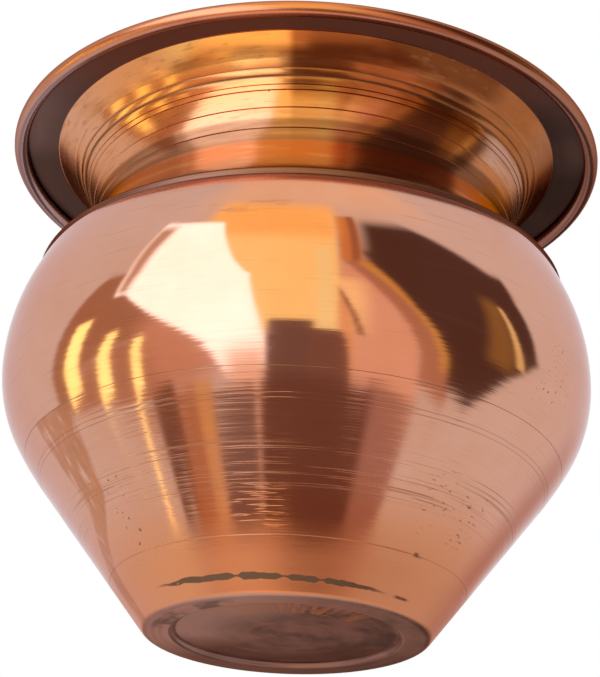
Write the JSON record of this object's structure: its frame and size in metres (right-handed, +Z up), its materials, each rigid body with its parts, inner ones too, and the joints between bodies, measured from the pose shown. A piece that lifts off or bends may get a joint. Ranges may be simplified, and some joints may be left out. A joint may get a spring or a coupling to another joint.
{
  "type": "kalash pot",
  "caption": "Round-bellied spun copper water pot with a cone-shaped bottom, flat foot, grooved flaring neck and a flat brim rolled round a wire.",
  "frame": {"origin": "centre of the foot, on the surface that the pot stands on", "axes": "+Z up along the pot's axis; X and Y are alike, because the pot is turned"},
  "size_m": [0.1174, 0.1174, 0.0982],
  "materials": {
    "polished_copper": "polished",
    "shell_copper": "polished",
    "turned_copper": "satin, lathe-turned",
    "wire_copper": "drawn wire",
    "belly_filler": "as brazed",
    "neck_filler": "as brazed"
  },
  "bodies": {
    "root": {"lower_bowl": "polished_copper", "upper_shell": "shell_copper", "neck_collar": "turned_copper", "rim_wire": "wire_copper", "belly_braze": "belly_filler", "neck_braze": "neck_filler"}
  },
  "joints": []
}
